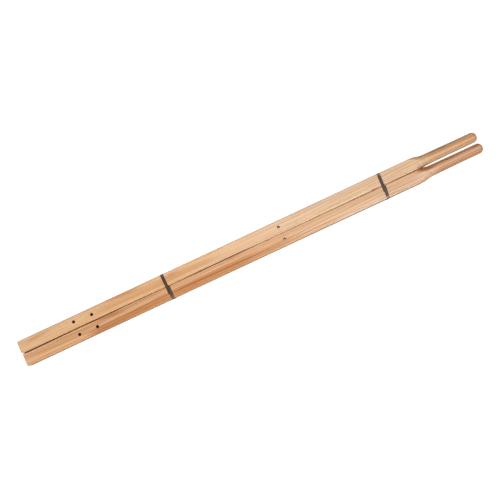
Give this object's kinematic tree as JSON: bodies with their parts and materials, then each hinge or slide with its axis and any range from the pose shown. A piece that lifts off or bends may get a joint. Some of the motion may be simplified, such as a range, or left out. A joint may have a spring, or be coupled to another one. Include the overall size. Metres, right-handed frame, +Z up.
{
  "type": "pair of wheelbarrow handles",
  "caption": "Pair of long hardwood wheelbarrow handles with bolt holes and turned round grips, bundled side by side by black plastic straps with welded ends.",
  "frame": {"origin": "middle of the bundle, on the surface that the straps rest on", "axes": "+X along the handles towards the grips, +Y across the bundle to the right handle, +Z up"},
  "size_m": [1.526, 0.0816, 0.0399],
  "materials": {
    "left_handle_wood": "satin",
    "right_handle_wood": "satin",
    "strap_plastic": "embossed satin"
  },
  "bodies": {
    "root": {"left_handle": "left_handle_wood", "right_handle": "right_handle_wood", "front_strap": "strap_plastic", "rear_strap": "strap_plastic"}
  },
  "joints": []
}
